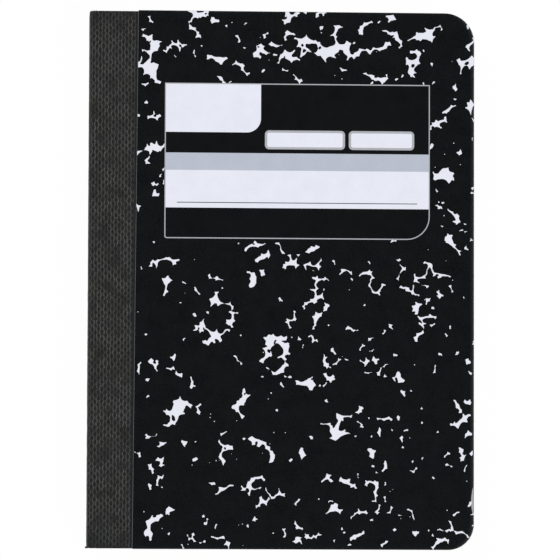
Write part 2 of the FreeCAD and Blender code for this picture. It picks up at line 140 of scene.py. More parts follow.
def mesh_piece(name, points, faces, material, smooth=True):
    """A mesh object from points in millimetres, with its faces turned outward."""
    mesh = bpy.data.meshes.new(name)
    mesh.from_pydata((np.asarray(points, float) * MM).tolist(), [], faces)
    shape = bmesh.new()
    shape.from_mesh(mesh)
    bmesh.ops.recalc_face_normals(shape, faces=shape.faces)
    shape.to_mesh(mesh)
    shape.free()
    mesh.materials.append(material)
    if smooth:
        mesh.shade_smooth()
    return in_scene(name, mesh)


def point_values(piece, name, values):
    """A number for each point of a mesh, which its material can read."""
    attribute = piece.data.attributes.new(name, "FLOAT", "POINT")
    attribute.data.foreach_set("value", np.asarray(values, np.float32))


def flat_places(piece, places):
    """A flat pattern place for each point of a mesh, as its UV map, in millimetres."""
    layer = piece.data.uv_layers.new(name="pattern")
    corner_points = np.zeros(len(piece.data.loops), int)
    piece.data.loops.foreach_get("vertex_index", corner_points)
    layer.data.foreach_set("uv", np.asarray(places, np.float32)[corner_points].ravel())


def grid_faces(rows, columns, first=0):
    """The four-sided faces of a grid of points stored row by row."""
    corners = [first + row * columns + column for row in range(rows - 1) for column in range(columns - 1)]
    return [(a, a + 1, a + columns + 1, a + columns) for a in corners]


def rim_of_grid(rows, columns):
    """The grid's outermost points in order, starting along the first row."""
    grid = np.arange(rows * columns).reshape(rows, columns)
    return np.concatenate([grid[0], grid[1:, -1], grid[-1, -2::-1], grid[-2:0:-1, 0]]).tolist()


def band_faces(ring, other):
    """The faces between two closed rings of as many points."""
    return [(ring[i - 1], ring[i], other[i], other[i - 1]) for i in range(len(ring))]


def rod_faces(first, ring_count, sides):
    """The walls and the two ends of a rod whose points are stored ring by ring."""
    rings = [range(start, start + sides) for start in range(first, first + ring_count * sides, sides)]
    faces = [tuple(rings[0]), tuple(rings[-1])]
    for ring, following in zip(rings, rings[1:]):
        faces += band_faces(ring, following)
    return faces


def fan_faces(side, first_corner, last_corner):
    """Triangles that join a row of points to two corners, which lie beside its two ends."""
    half = len(side) // 2
    faces = [(a, b, first_corner) for a, b in zip(side[:half], side[1:half + 1])]
    faces.append((side[half], last_corner, first_corner))
    faces += [(a, b, last_corner) for a, b in zip(side[half:], side[half + 1:])]
    return faces


# ---- materials ----
# Noise scales are in features per metre, or per millimetre on the tape, whose places are its UV map.

def add_node(tree, kind, inputs=(), **settings):
    """A new node with its settings, and with a value or another node's output for some inputs."""
    node = tree.nodes.new("ShaderNode" + kind)
    for name, setting in settings.items():
        setattr(node, name, setting)
    for name, value in dict(inputs).items():
        if isinstance(value, bpy.types.NodeSocket):
            tree.links.new(value, node.inputs[name])
        else:
            node.inputs[name].default_value = value
    return node


class Paint:
    """A material being built from nodes, with its Principled shader."""

    def __init__(self, name, roughness, specular, places="Object"):
        self.material = bpy.data.materials.new(name)
        self.material.use_nodes = True
        self.tree = self.material.node_tree
        self.shader = self.tree.nodes["Principled BSDF"]
        self.shader.inputs["Roughness"].default_value = roughness
        self.shader.inputs["Specular IOR Level"].default_value = specular
        self.places = places

    def add(self, kind, inputs=(), **settings):
        return add_node(self.tree, kind, inputs, **settings)

    def attribute(self, name):
        return self.add("Attribute", attribute_name=name).outputs["Fac"]

    def math(self, operation, first, second):
        return self.add("Math", {0: first, 1: second}, operation=operation).outputs["Value"]

    def times(self, first, second):
        return self.math("MULTIPLY", first, second)

    def levelness(self):
        """1 where the surface lies level, and 0 where it is upright."""
        normal = self.add("TexCoord").outputs["Normal"]
        return self.math("ABSOLUTE", self.add("SeparateXYZ", {"Vector": normal}).outputs["Z"], 0.0)

    def noise(self, scale, detail=3.0, roughness=0.55, stretch=None):
        """Noise over the piece, whose places may be multiplied first."""
        place = self.add("TexCoord").outputs[self.places]
        if stretch:
            place = self.add("VectorMath", {0: place, 1: stretch}, operation="MULTIPLY").outputs["Vector"]
        inputs = {"Vector": place, "Scale": scale, "Detail": detail, "Roughness": roughness}
        return self.add("TexNoise", inputs).outputs["Fac"]

    def card_fibres(self):
        return self.noise(2600, 4.0, 0.6, (1.0, 1.6, 1.0))

    def range(self, value, low=0.3, high=0.7, to_low=0.0, to_high=1.0):
        inputs = {"Value": value, "From Min": low, "From Max": high, "To Min": to_low, "To Max": to_high}
        return self.add("MapRange", inputs).outputs["Result"]

    def mix(self, share, first, second):
        """A colour between two others, each a colour or a node's output."""
        inputs = {"Factor": share, "A": first, "B": second}
        return self.add("Mix", inputs, data_type="RGBA").outputs["Result"]

    def finished(self, colour, *bumps, roughness=None):
        """The material with its bumps one over another, each a height with its depth in millimetres."""
        self.tree.links.new(colour, self.shader.inputs["Base Color"])
        if roughness:
            self.tree.links.new(roughness, self.shader.inputs["Roughness"])
        inputs = {}
        for height, depth in bumps:
            inputs.update({"Height": height, "Distance": depth * MM})
            inputs["Normal"] = self.add("Bump", inputs).outputs["Normal"]
            self.tree.links.new(inputs["Normal"], self.shader.inputs["Normal"])
        return self.material


def srgb(red, green, blue):
    """An opaque linear colour from the 0 to 255 values of a screen colour."""
    def linear(level):
        share = level / 255
        return share / 12.92 if share <= 0.04045 else ((share + 0.055) / 1.055) ** 2.4
    return linear(red), linear(green), linear(blue), 1.0


def inked_card():
    """Black print on smooth card: faint fibres, slight mottling, and ink rubbed thin at the fore edge.

    A painted sheen also lightens the black near the cut edges, most at the fore edge.
    """
    paint = Paint("inked_card", 0.5, 0.08)
    fibres = paint.card_fibres()
    mottling = paint.noise(260)
    ragged = paint.noise(1500, 4.0, 0.7)
    edge = paint.attribute("edge_distance")
    wear_and_sheen = paint.attribute("wear_and_sheen")
    black = paint.mix(paint.range(fibres, 0.36, 0.66), srgb(2, 3, 5), srgb(16, 18, 20))
    black = paint.mix(paint.range(mottling, 0.35, 0.7, to_high=0.35), black, srgb(16, 18, 19))
    # Painted sheen: grey mixed into the black near the cut edges, most near the fore edge
    edge_sheen = paint.times(paint.range(edge, 0.9, 0.0, to_high=0.12), wear_and_sheen)
    with_edge_sheen = paint.mix(edge_sheen, black, srgb(110, 112, 112))
    rubbed_and_highlit = paint.times(paint.range(edge, 0.26, 0.03), paint.range(ragged, 0.34, 0.64))
    rubbed_and_highlit = paint.times(paint.times(rubbed_and_highlit, wear_and_sheen), 0.8)
    bare_and_sheened_edge = paint.mix(rubbed_and_highlit, with_edge_sheen, srgb(124, 125, 124))
    core = paint.mix(paint.range(ragged), srgb(92, 90, 85), srgb(150, 146, 138))
    colour = paint.mix(paint.range(paint.attribute("cut_side"), 0.25, 0.75), bare_and_sheened_edge, core)
    roughness = paint.range(mottling, to_low=0.42, to_high=0.56)
    return paint.finished(colour, (fibres, 0.012), (mottling, 0.02), roughness=roughness)


def printed_film(name, low, high, specular=0.12):
    """A field of print on the card, whose ink varies a little with the fibres under it."""
    paint = Paint(name, 0.5, specular)
    fibres = paint.card_fibres()
    clouds = paint.noise(300, 2.0)
    shade = paint.math("ADD", paint.range(fibres, to_high=0.6), paint.range(clouds, to_high=0.4))
    roughness = paint.range(clouds, to_low=0.44, to_high=0.58)
    return paint.finished(paint.mix(shade, low, high), (fibres, 0.010), roughness=roughness)


def woven_tape():
    """Black cloth tape: broken wavy ridges painted pale as highlights, over hollows painted dark as shade,
    crossed by fine threads.

    It is paler where it is cut. A painted highlight runs along the spine's rounded corner, and painted
    shade darkens the pressed line beside the cut edge and the tape's ends.
    """
    paint = Paint("woven_tape", 0.78, 0.12, "UV")
    threads = paint.noise(1.6, 4.0, 0.6, (3.0, 11.0, 1.0))
    speckle = paint.noise(3.4, 2.0, 0.6, (1.0, 0.7, 1.0))
    patches = paint.noise(0.3)
    grains = paint.noise(9.0, 2.0)
    tint = paint.range(paint.noise(0.16, 1.0), 0.42, 0.58)
    # Painted light on the weave: the hollows are painted dark as shade, the ridges pale as highlights
    hollow_shade = paint.mix(paint.range(threads), srgb(20, 21, 21), srgb(31, 32, 31))
    ridge_highlight = paint.mix(tint, srgb(92, 94, 93), srgb(98, 96, 93))
    ridge_highlight = paint.mix(paint.range(threads, to_high=0.4), ridge_highlight, srgb(58, 59, 57))
    highlight_share = paint.times(paint.attribute("ridge"), paint.range(speckle, 0.36, 0.60, to_low=0.25))
    cloth = paint.mix(highlight_share, hollow_shade, ridge_highlight)
    dust = paint.times(paint.range(patches, 0.35, 0.7, to_high=0.09), paint.range(speckle))
    cloth = paint.mix(dust, cloth, srgb(110, 110, 104))
    # Painted shade along the pressed line beside the cut edge and at the tape's ends
    cloth = paint.mix(paint.attribute("pressed_and_shaded"), cloth, srgb(28, 29, 33))
    # Painted highlight along the spine's rounded corner
    rubbed_and_highlit = paint.times(paint.attribute("rubbed_and_highlit"), paint.range(speckle, 0.3, 0.65, to_low=0.35))
    cloth = paint.mix(rubbed_and_highlit, cloth, srgb(112, 113, 111))
    colour = paint.mix(paint.attribute("cut_line"), cloth, srgb(108, 110, 114))
    return paint.finished(colour, (threads, 0.018), (grains, 0.008))


def frayed_cloth():
    paint = Paint("frayed_cloth", 0.85, 0.1)
    fibres = paint.noise(9000)
    colour = paint.mix(paint.range(fibres), srgb(14, 15, 16), srgb(36, 37, 38))
    return paint.finished(colour, (fibres, 0.02))


def leaf_paper():
    """Writing paper in a stack: each leaf a touch lighter or darker, and marked where it was cut."""
    paint = Paint("leaf_paper", 0.85, 0.2)
    fibres = paint.noise(1700, 4.0, 0.6)
    drag = paint.range(paint.noise(420, stretch=(1.0, 1.0, 14.0)), 0.4, 0.75)
    drag = paint.times(drag, paint.math("SUBTRACT", 1.0, paint.levelness()))
    tone = paint.mix(paint.attribute("leaf_tone"), srgb(214, 211, 202), srgb(240, 239, 233))
    colour = paint.mix(paint.times(drag, 0.35), tone, srgb(202, 199, 190))
    return paint.finished(colour, (fibres, 0.012), (drag, 0.007))


def lining_paper():
    paint = Paint("lining_paper", 0.8, 0.25)
    fibres = paint.noise(1900, 4.0, 0.6)
    clouds = paint.noise(120)
    paper = paint.mix(paint.range(fibres), srgb(226, 225, 220), srgb(238, 237, 232))
    colour = paint.mix(paint.range(clouds, 0.4, 0.7, to_high=0.25), paper, srgb(219, 216, 206))
    return paint.finished(colour, (fibres, 0.010), (clouds, 0.03))


def ruling_ink():
    paint = Paint("ruling_ink", 0.8, 0.2)
    return paint.finished(paint.mix(paint.range(paint.noise(2400)), srgb(128, 170, 206), srgb(158, 193, 220)))


def cotton_thread():
    """White cotton with its plies twisted round it."""
    paint = Paint("cotton_thread", 0.9, 0.2)
    plies = paint.noise(900, stretch=(6.0, 1.0, 6.0))
    colour = paint.mix(paint.range(plies, 0.35, 0.65), srgb(204, 200, 188), srgb(238, 236, 228))
    return paint.finished(colour, (plies, 0.05), (paint.noise(9000), 0.01))


def floor_paint():
    """A white sheet that the camera sees as plain white apart from a soft shadow."""
    paint = Paint("white_floor", 0.9, 0.1)
    paint.finished(paint.mix(paint.range(paint.noise(3.0, 2.0)), *floor_whites))
    rays = paint.add("LightPath").outputs
    seen = paint.math("MAXIMUM", rays["Is Camera Ray"], rays["Is Glossy Ray"])
    seen = paint.times(paint.math("MAXIMUM", seen, rays["Is Transmission Ray"]), floor_whiteness)
    white = paint.add("Emission").outputs["Emission"]
    blend = paint.add("MixShader", {"Fac": seen, 1: paint.shader.outputs["BSDF"], 2: white})
    paint.tree.links.new(blend.outputs["Shader"], paint.tree.nodes["Material Output"].inputs["Surface"])
    return paint.material


# ---- the covers' outline ----

def half_height(x, head, inset=0.0):
    """How far the cover or leaf reaches from the middle at x, toward the head or the tail."""
    radius = (head_corner_radius if head else tail_corner_radius) - inset
    end = (y_head if head else -y_tail) - inset
    into_corner = np.clip(np.asarray(x, float) - (x_fore - inset - radius), 0.0, radius)
    return end - radius + np.sqrt(radius ** 2 - into_corner ** 2)


def edge_distance(x, y):
    """How far a place on a cover is from its head, tail or fore edge."""
    distance = np.minimum(x_fore - x, np.minimum(y_head - y, y - y_tail))
    for radius, side, end in ((head_corner_radius, 1, y_head), (tail_corner_radius, -1, y_tail)):
        across = x - (x_fore - radius)
        along = side * (y - end) + radius
        in_corner = (across > 0) & (along > 0)
        distance = np.where(in_corner, radius - np.hypot(across, along), distance)
    return distance


# ---- cover boards ----

edge_offsets = [0.0, 0.02, 0.05, 0.10, 0.18, 0.30, 0.50, 0.80, 1.2]
board_step = 2.6
corner_turn_step = 4
tape_line_half = 0.015  # the card's rows change length over twice this, under the tape's cut edge
least_column_gap = 0.012
edge_roll, edge_roll_reach = 0.05, 0.7  # how far a cover's printed face bends down at its edge
edge_nick, edge_nick_reach = 0.03, 0.08  # and how far its very edge is pressed in by the cutter
nick_unevenness = 0.5
nick_waves = 6
nick_slant = 1.7  # how much faster the waves run along the cover than across it
nick_rates = (0.9, 0.83)  # the slowest wave's radians per millimetre, and how many more the next one has
nick_seeds = {"front": 5, "back": 6}
inner_roll, inner_roll_reach = 0.02, 0.1  # how far the inner face bends
rim_levels = (0.3, 0.7)  # the rows of points round the cut side, from the upper face to the lower
wear_and_sheen_ends = (1.0, 5.0)  # from the fore edge, where the wear and the painted sheen start to fade and where they have faded
wear_and_sheen_fades_by = 0.9


def cover_columns(side):
    """Places across a cover, closer together at its edge, round its corners and where the tape is cut."""
    radius = head_corner_radius
    turns = range(corner_turn_step, 90, corner_turn_step)
    columns = between(x_board, x_fore - radius, board_step)
    columns += [x_fore - radius + radius * math.sin(math.radians(turn)) for turn in turns]
    columns += [x_fore - offset for offset in edge_offsets]
    for reach in tape_reaches[side]:
        columns += [x_spine + reach - tape_line_half, x_spine + reach + tape_line_half]
    columns = sorted(set(round(x, 4) for x in columns))
    apart = [x for before, x in zip(columns, columns[1:]) if x - before > least_column_gap]
    return columns[:1] + apart[:-1] + [x_fore]


def rows_at(x, side, count):
    """Places along a cover at x, from its tail to its head, closer together at both ends.

    Under the tape a cover is trimmed level with the tape's ends.
    """
    reach_head, reach_tail = tape_reaches[side]
    low = spine_low.y if x < x_spine + reach_tail else -half_height(x, False)
    high = spine_high.y if x < x_spine + reach_head else half_height(x, True)
    step = (high - low - 2 * edge_offsets[-1]) / (count + 1)
    rows = [low + offset for offset in edge_offsets]
    rows += [rows[-1] + step * index for index in range(1, count + 1)]
    return rows + [high - offset for offset in edge_offsets[::-1]]


def nicked(x, y, seed):
    """How hard the cutter pressed the edge at each place, as shares that vary round 1."""
    chance = random.Random(seed)
    slowest, faster = nick_rates
    waves = []
    for index in range(nick_waves):
        phase = chance.uniform(0, 6.28)
        waves.append(np.sin((x + nick_slant * y) * (slowest + faster * index) + phase))
    return 1 + nick_unevenness * sum(waves) / nick_waves


def slab(x, y, upper, lower):
    """The points and faces of a closed board: the upper grid, the lower one, and rows round its side."""
    top = np.stack([x, y, upper], -1).reshape(-1, 3)
    bottom = np.stack([x, y, lower], -1).reshape(-1, 3)
    rim = rim_of_grid(*x.shape)
    points = [top, bottom]
    rings = [rim]
    for share in rim_levels:
        first = sum(len(group) for group in points)
        points.append(top[rim] + (bottom[rim] - top[rim]) * share)
        rings.append(range(first, first + len(rim)))
    rings.append([x.size + point for point in rim])
    faces = grid_faces(*x.shape) + grid_faces(*x.shape, x.size)
    for ring, following in zip(rings, rings[1:]):
        faces += band_faces(ring, following)
    return np.concatenate(points), faces


def board_mesh(name, side, material):
    """A card board with a softly rolled, slightly ragged cut edge."""
    plain_rows = round((y_head - y_tail) / board_step)
    places = np.array([[(x, y) for y in rows_at(x, side, plain_rows)] for x in cover_columns(side)])
    x, y = places[..., 0], places[..., 1]
    distance = np.maximum(edge_distance(x, y), 0.0)
    nick = edge_nick * nicked(x, y, nick_seeds[side]) * fading(distance, edge_nick_reach) ** 2
    outside = edge_roll * fading(distance, edge_roll_reach) ** 2 + nick
    inside = inner_roll * fading(distance, inner_roll_reach) ** 2
    if side == "front":
        points, faces = slab(x, y, z_face - outside, z_under + inside)
    else:
        points, faces = slab(x, y, z_back_inside - inside, z_back_face + outside)
    piece = mesh_piece(name, points, faces, material)
    cut_side = np.ones(len(points))
    cut_side[:x.size] = side == "back"
    cut_side[x.size:2 * x.size] = side == "front"
    point_values(piece, "cut_side", cut_side)
    point_values(piece, "edge_distance", np.maximum(edge_distance(points[:, 0], points[:, 1]), 0))
    # Where the rubbed ink and the painted edge sheen are strongest: at the fore edge
    point_values(piece, "wear_and_sheen", 1 - wear_and_sheen_fades_by * smooth_step(x_fore - points[:, 0], *wear_and_sheen_ends))
    piece.data.set_sharp_from_angle(angle=math.radians(40))
    return piece


# ---- marbling ----
# The same drops of ink as in the part's source, drawn in the same order. Here their rims waver, the
# seams between them open, smaller droplets are added, and the ink spreads a little more beside the veins.

drop_sizes = ((700, 2.4, 4.6), (12000, 0.40, 2.1))  # how many are tried, and their least and most radius
largest_drop = drop_sizes[0][2]
ink_spread_at_vein = 0.43  # near the head
vein_thinning = 0.08  # the ink spreads this much farther beside a vein near the tail
vein_thinning_from, vein_thinning_to = 20.0, 60.0  # from the head
vein_half_width = 0.30
vein_reach = 1.0
ink_spread_unevenness = 0.06
ink_margin = 4.0
drop_cell = 3.0

# Veins that the ink left bare on the front cover, as lines through points given from the spine and the head
front_veins = [
    [(12.2, 6.2), (14.4, 8.4), (17.4, 8.4), (18.4, 6.4), (20.6, 7.7)],
    [(12.3, 9.4), (14.0, 12.4), (12.2, 16.0)], [(21.6, 3.4), (22.9, 6.0)],
    [(20.6, 0.2), (22.4, 0.8), (25.4, 0.4)], [(31.4, 11.4), (32.4, 13.3), (34.2, 13.3)],
    [(35.4, 9.3), (37.2, 8.4), (37.0, 6.2)], [(37.2, 8.4), (39.6, 9.8)],
    [(42.9, 0.6), (41.6, 3.0), (42.3, 5.0)], [(43.0, 10.0), (46.2, 9.2)],
    [(41.4, 8.9), (44.6, 7.4), (46.3, 5.6), (49.4, 7.7), (52.6, 8.4), (56.6, 9.2), (58.2, 7.8)],
    [(58.2, 7.8), (62.6, 8.1), (64.4, 6.6), (64.6, 4.0)], [(51.2, 1.8), (52.8, 6.2), (52.0, 9.8)],
    [(57.4, 0.2), (58.6, 2.0), (56.2, 6.0)], [(58.6, 2.0), (62.2, 2.1), (63.0, 0.4)],
    [(68.8, 5.8), (71.0, 4.8), (73.0, 3.0)], [(67.7, 10.3), (69.2, 11.3)],
    [(60.9, 12.9), (61.6, 14.8), (64.8, 14.4)], [(81.9, 5.4), (81.2, 9.8), (79.2, 13.0), (78.0, 16.6)],
    [(13.0, 22.2), (15.6, 22.2)], [(12.4, 30.3), (15.4, 29.6)], [(13.2, 36.6), (15.0, 39.4)],
    [(72.8, 23.2), (76.2, 22.8)], [(73.8, 35.4), (77.0, 34.4), (77.0, 36.4)],
    [(13.2, 53.6), (18.6, 53.2)], [(16.2, 59.8), (16.4, 58.2), (18.4, 57.8)],
    [(36.4, 48.8), (36.4, 52.0), (38.0, 52.4)], [(39.4, 49.4), (41.2, 50.8), (43.8, 52.8), (47.8, 50.6)],
    [(32.6, 54.4), (34.8, 56.6), (34.2, 59.4)], [(34.8, 56.6), (37.6, 56.4), (38.0, 54.0)],
    [(25.2, 64.0), (27.0, 62.6), (29.8, 61.6), (30.6, 64.0), (29.3, 68.4), (24.2, 70.6)],
    [(45.6, 64.2), (48.0, 60.6), (50.4, 61.6), (50.4, 64.0), (48.2, 65.0), (48.6, 67.0)],
    [(38.0, 69.0), (39.6, 70.2), (42.4, 70.4), (42.9, 72.4)], [(41.8, 73.6), (41.6, 76.6), (43.2, 77.8)],
    [(37.2, 71.8), (37.6, 73.8), (36.6, 74.8)], [(71.8, 55.0), (70.8, 57.4), (68.0, 59.0)],
    [(70.6, 62.4), (69.6, 63.8), (70.4, 65.0)], [(80.6, 48.6), (80.4, 50.6)],
    [(10.8, 75.0), (11.2, 77.6)], [(13.4, 74.4), (17.8, 76.4)], [(46.0, 79.4), (50.4, 79.0), (51.2, 77.6)],
    [(60.8, 76.8), (64.4, 74.9)], [(32.8, 79.6), (33.6, 81.2), (31.2, 83.2), (31.8, 85.8)],
    [(20.2, 85.8), (20.4, 84.6), (24.2, 83.4)], [(17.0, 87.0), (18.2, 85.2), (19.0, 87.0)],
    [(53.2, 86.2), (53.6, 89.0), (53.0, 90.8)], [(77.4, 83.6), (79.0, 85.2), (80.6, 85.6)],
    [(69.0, 85.6), (72.6, 88.0)], [(32.8, 90.2), (37.4, 93.2), (39.8, 95.0)],
    [(79.0, 92.0), (79.9, 93.8), (78.0, 96.6)], [(60.2, 89.7), (63.9, 91.0)],
    [(34.2, 99.8), (33.6, 101.2), (34.4, 102.8)], [(48.6, 104.0), (51.0, 99.0)],
    [(54.0, 99.2), (56.0, 101.4)], [(58.8, 100.5), (63.2, 100.7)], [(64.2, 105.0), (65.7, 110.0)],
    [(13.2, 106.8), (13.0, 109.8)], [(22.4, 111.2), (22.6, 113.4), (25.0, 112.6)],
    [(27.2, 112.0), (30.2, 112.8)], [(46.0, 111.8), (49.8, 111.2)],
    [(58.4, 110.0), (56.6, 112.0), (55.0, 114.0)], [(76.2, 110.2), (81.0, 111.4)],
    [(73.2, 114.0), (76.4, 112.4)],
]

# The seed, the veins and the ink's spread on each cover
inks = {"front": (11, front_veins, 0.50), "back": (29, [], 0.36)}
droplet_seed_step = 100
pinhole_seed_step = 200

fleck_cell = 0.11  # spacing of the grid that the flecks' outlines are found on
bare_depth = 0.8  # how far outside the ink a place is taken to be until ink lands near it
ink_reach = 2.0  # how far past a drop's rim it is looked at
rim_waver, rim_waver_length = 0.26, 3.0  # how far a rim strays over a few millimetres
rim_tremble, rim_tremble_length = 0.06, 0.9  # and over less than one
rim_softness = 0.07  # rounds the tips and necks of the flecks
rim_depth = 0.4  # the field is cut off this far from a rim before it is softened
seam_width = 0.22  # half the breadth of the strip of thin ink along the seam of two drops
seam_lift = 0.28  # how far the ink draws back from an open seam
seam_patch_length = 9.0
seam_patches = (-0.3, 1.2)  # the noise levels between which seams go from shut to open
droplet_radii = (0.22, 0.50)  # specks of ink that fell last, on the bare card near the rims
droplet_tries = 5000
droplet_places = (-0.1, 0.5)  # how far outside the ink they landed
droplet_space = 0.15
pinhole_radii = (0.05, 0.115)  # specks where the ink missed the card
pinhole_unevenness = 0.3
pinhole_count = 55
pinhole_depth = 0.4  # how far inside the ink they are
pinhole_points = 7
fleck_edge_margin = 0.05
fleck_tape_margin = 0.02  # and off the tape and the label
fleck_thickness = 0.03
front_fleck_root = 0.01  # how far under the front cover's face the flecks start
back_fleck_stand = 0.004  # how far they stand out of the back cover's face
least_fleck_area = 0.06
least_fleck_turn = 1e-5
point_merge_m = 1e-8  # in metres: points of a film this close are one point
edge_merge_m = 1e-7  # and edges this short are a point


def vein_runs(veins):
    """The veins' straight runs, each as its start, its way to the end, and its length squared."""
    runs = []
    for vein in veins:
        for (x, y), (x_end, y_end) in zip(vein, vein[1:]):
            runs.append((x, y, x_end - x, y_end - y, (x_end - x) ** 2 + (y_end - y) ** 2))
    return runs


def from_vein(runs, x, y):
    """How far a place is from the nearest vein; far off when there are none."""
    nearest = y_head - y_tail
    for start_x, start_y, way_x, way_y, length_squared in runs:
        share = ((x - start_x) * way_x + (y - start_y) * way_y) / length_squared
        share = min(max(share, 0.0), 1.0)
        nearest = min(nearest, math.hypot(start_x + way_x * share - x, start_y + way_y * share - y))
    return nearest


def drop_cells(low, high):
    return range(math.floor(low / drop_cell), math.floor(high / drop_cell) + 1)


def drops_near(cells, x, y, reach):
    for column in drop_cells(x - reach, x + reach):
        for row in drop_cells(y - reach, y + reach):
            yield from cells.get((column, row), ())


def put_drop(cells, x, y, radius):
    cell = (math.floor(x / drop_cell), math.floor(y / drop_cell))
    cells.setdefault(cell, []).append((x, y, radius))


def fallen_drops(chance, width, height, runs):
    """Drops of ink as (x, y, radius, how far its rim is from the nearest vein's side).

    Large ones come first, then smaller ones that fill the room left.
    """
    cells = {}
    drops = []
    for tries, least, most in drop_sizes:
        for _ in range(tries):
            x = chance.uniform(-ink_margin, width + ink_margin)
            y = chance.uniform(-ink_margin, height + ink_margin)
            radius = chance.uniform(least, most)
            free = from_vein(runs, x, y) - vein_half_width
            radius = min(radius, free)
            if radius < least:
                continue
            for a, b, other in drops_near(cells, x, y, radius + largest_drop):
                radius = min(radius, math.hypot(x - a, y - b) - other)
            if radius >= least:
                put_drop(cells, x, y, radius)
                drops.append((x, y, radius, free - radius))
    return drops


def spread_at_vein(y):
    """How far the ink spreads beside a vein, at a distance from the head."""
    share = (y - vein_thinning_from) / (vein_thinning_to - vein_thinning_from)
    return ink_spread_at_vein + vein_thinning * min(max(share, 0.0), 1.0)


def ink_drops(side):
    """The drops in the book's frame, after the ink has spread."""
    seed, veins, ink_spread = inks[side]
    chance = random.Random(seed)
    spread = []
    fallen = fallen_drops(chance, x_fore - x_spine, y_head - y_tail, vein_runs(veins))
    for x, y, radius, vein_gap in fallen:
        beside_vein = math.exp(-(vein_gap / vein_reach) ** 2)
        growth = ink_spread + (spread_at_vein(y) - ink_spread) * beside_vein
        growth += chance.uniform(-ink_spread_unevenness, ink_spread_unevenness)
        spread.append((x_spine + x, y_head - y, radius + growth))
    return spread


def grid_span(middle, reach, count):
    first = math.floor((middle - reach) / fleck_cell) + 1
    last = math.ceil((middle + reach) / fleck_cell) + 2
    return slice(min(max(first, 0), count), min(max(last, 0), count))


class BareField:
    """How far each place of a grid over a cover is outside the ink; below 0 it is inked."""

    def __init__(self, seed):
        rows = math.ceil((y_head - y_tail) / fleck_cell) + 3
        columns = math.ceil((x_fore - x_spine) / fleck_cell) + 3
        self.shape = (rows, columns)
        self.x = x_spine - fleck_cell + fleck_cell * np.arange(columns)[None, :].repeat(rows, 0)
        self.y = y_tail - fleck_cell + fleck_cell * np.arange(rows)[:, None].repeat(columns, 1)
        self.bent_x = self.x + self.strayed(seed)
        self.bent_y = self.y + self.strayed(seed + 2)
        self.bare = np.full(self.shape, bare_depth)
        self.second = self.bare.copy()
        patches = noise_field(self.shape, fleck_cell, seam_patch_length, seed + 4)
        self.seams_open = smooth_step(patches, *seam_patches)

    def strayed(self, seed):
        waver = noise_field(self.shape, fleck_cell, rim_waver_length, seed)
        tremble = noise_field(self.shape, fleck_cell, rim_tremble_length, seed + 1)
        return rim_waver * waver + rim_tremble * tremble

    def ink(self, x, y, radius):
        """Adds one drop, and keeps how far each place is from the nearest drop and the second nearest."""
        reach = radius + ink_reach
        near = (grid_span(y - y_tail, reach, self.shape[0]), grid_span(x - x_spine, reach, self.shape[1]))
        away = np.hypot(self.bent_x[near] - x, self.bent_y[near] - y) - radius
        nearest = self.bare[near]
        self.second[near] = np.minimum(self.second[near], np.maximum(nearest, away))
        self.bare[near] = np.minimum(nearest, away)

    def open_seams(self):
        """Draws the points of the bare spots out into fine threads between the drops."""
        seam = np.exp(-((self.second - self.bare) / seam_width) ** 2)
        self.bare += seam_lift * self.seams_open * seam

    def at(self, x, y):
        return self.bare[int((y - y_tail) / fleck_cell) + 1, int((x - x_spine) / fleck_cell) + 1]

    def add_droplets(self, chance):
        cells = {}
        for _ in range(droplet_tries):
            x = chance.uniform(x_spine, x_fore)
            y = chance.uniform(y_tail, y_head)
            radius = chance.uniform(*droplet_radii)
            if not droplet_places[0] < self.at(x, y) < droplet_places[1]:
                continue
            near = drops_near(cells, x, y, radius + droplet_radii[1] + droplet_space)
            if any(math.hypot(x - a, y - b) < radius + other + droplet_space for a, b, other in near):
                continue
            put_drop(cells, x, y, radius)
            self.ink(x, y, radius)


def inked_grid(side):
    """The grid over one cover with all its ink on it."""
    seed = inks[side][0]
    grid = BareField(seed)
    for drop in ink_drops(side):
        grid.ink(*drop)
    grid.open_seams()
    grid.add_droplets(random.Random(seed + droplet_seed_step))
    return grid


def pinholes(grid, side):
    """Small uneven loops inside the ink."""
    chance = random.Random(inks[side][0] + pinhole_seed_step)
    turns = [2 * math.pi * step / pinhole_points for step in range(pinhole_points)]
    loops = []
    while len(loops) < pinhole_count:
        x = chance.uniform(x_spine, x_fore)
        y = chance.uniform(y_tail, y_head)
        size = chance.uniform(*pinhole_radii)
        if grid.at(x, y) > -pinhole_depth or field_limit(x, y, side) < pinhole_depth:
            continue
        radii = [size * chance.uniform(1 - pinhole_unevenness, 1 + pinhole_unevenness) for _ in turns]
        loops.append([(x + r * math.cos(turn), y + r * math.sin(turn)) for r, turn in zip(radii, turns)])
    return loops


def tape_reach(y, side):
    """The tape's cut edge on a cover, at a place along the book."""
    head, tail = tape_reaches[side]
    share = (y - y_tail) / (y_head - y_tail)
    return x_spine + tail + (head - tail) * share


def field_limit(x, y, side):
    """Keeps the flecks off the cover's cut edge, the tape and the label."""
    limit = edge_distance(x, y) - fleck_edge_margin
    limit = np.minimum(limit, x - tape_reach(y, side) - fleck_tape_margin)
    if side == "front":
        across = np.maximum(label_low.x - x, x - label_high.x)
        along = np.maximum(label_low.y - y, y - label_high.y)
        limit = np.minimum(limit, np.maximum(across, along) - fleck_tape_margin)
    return limit


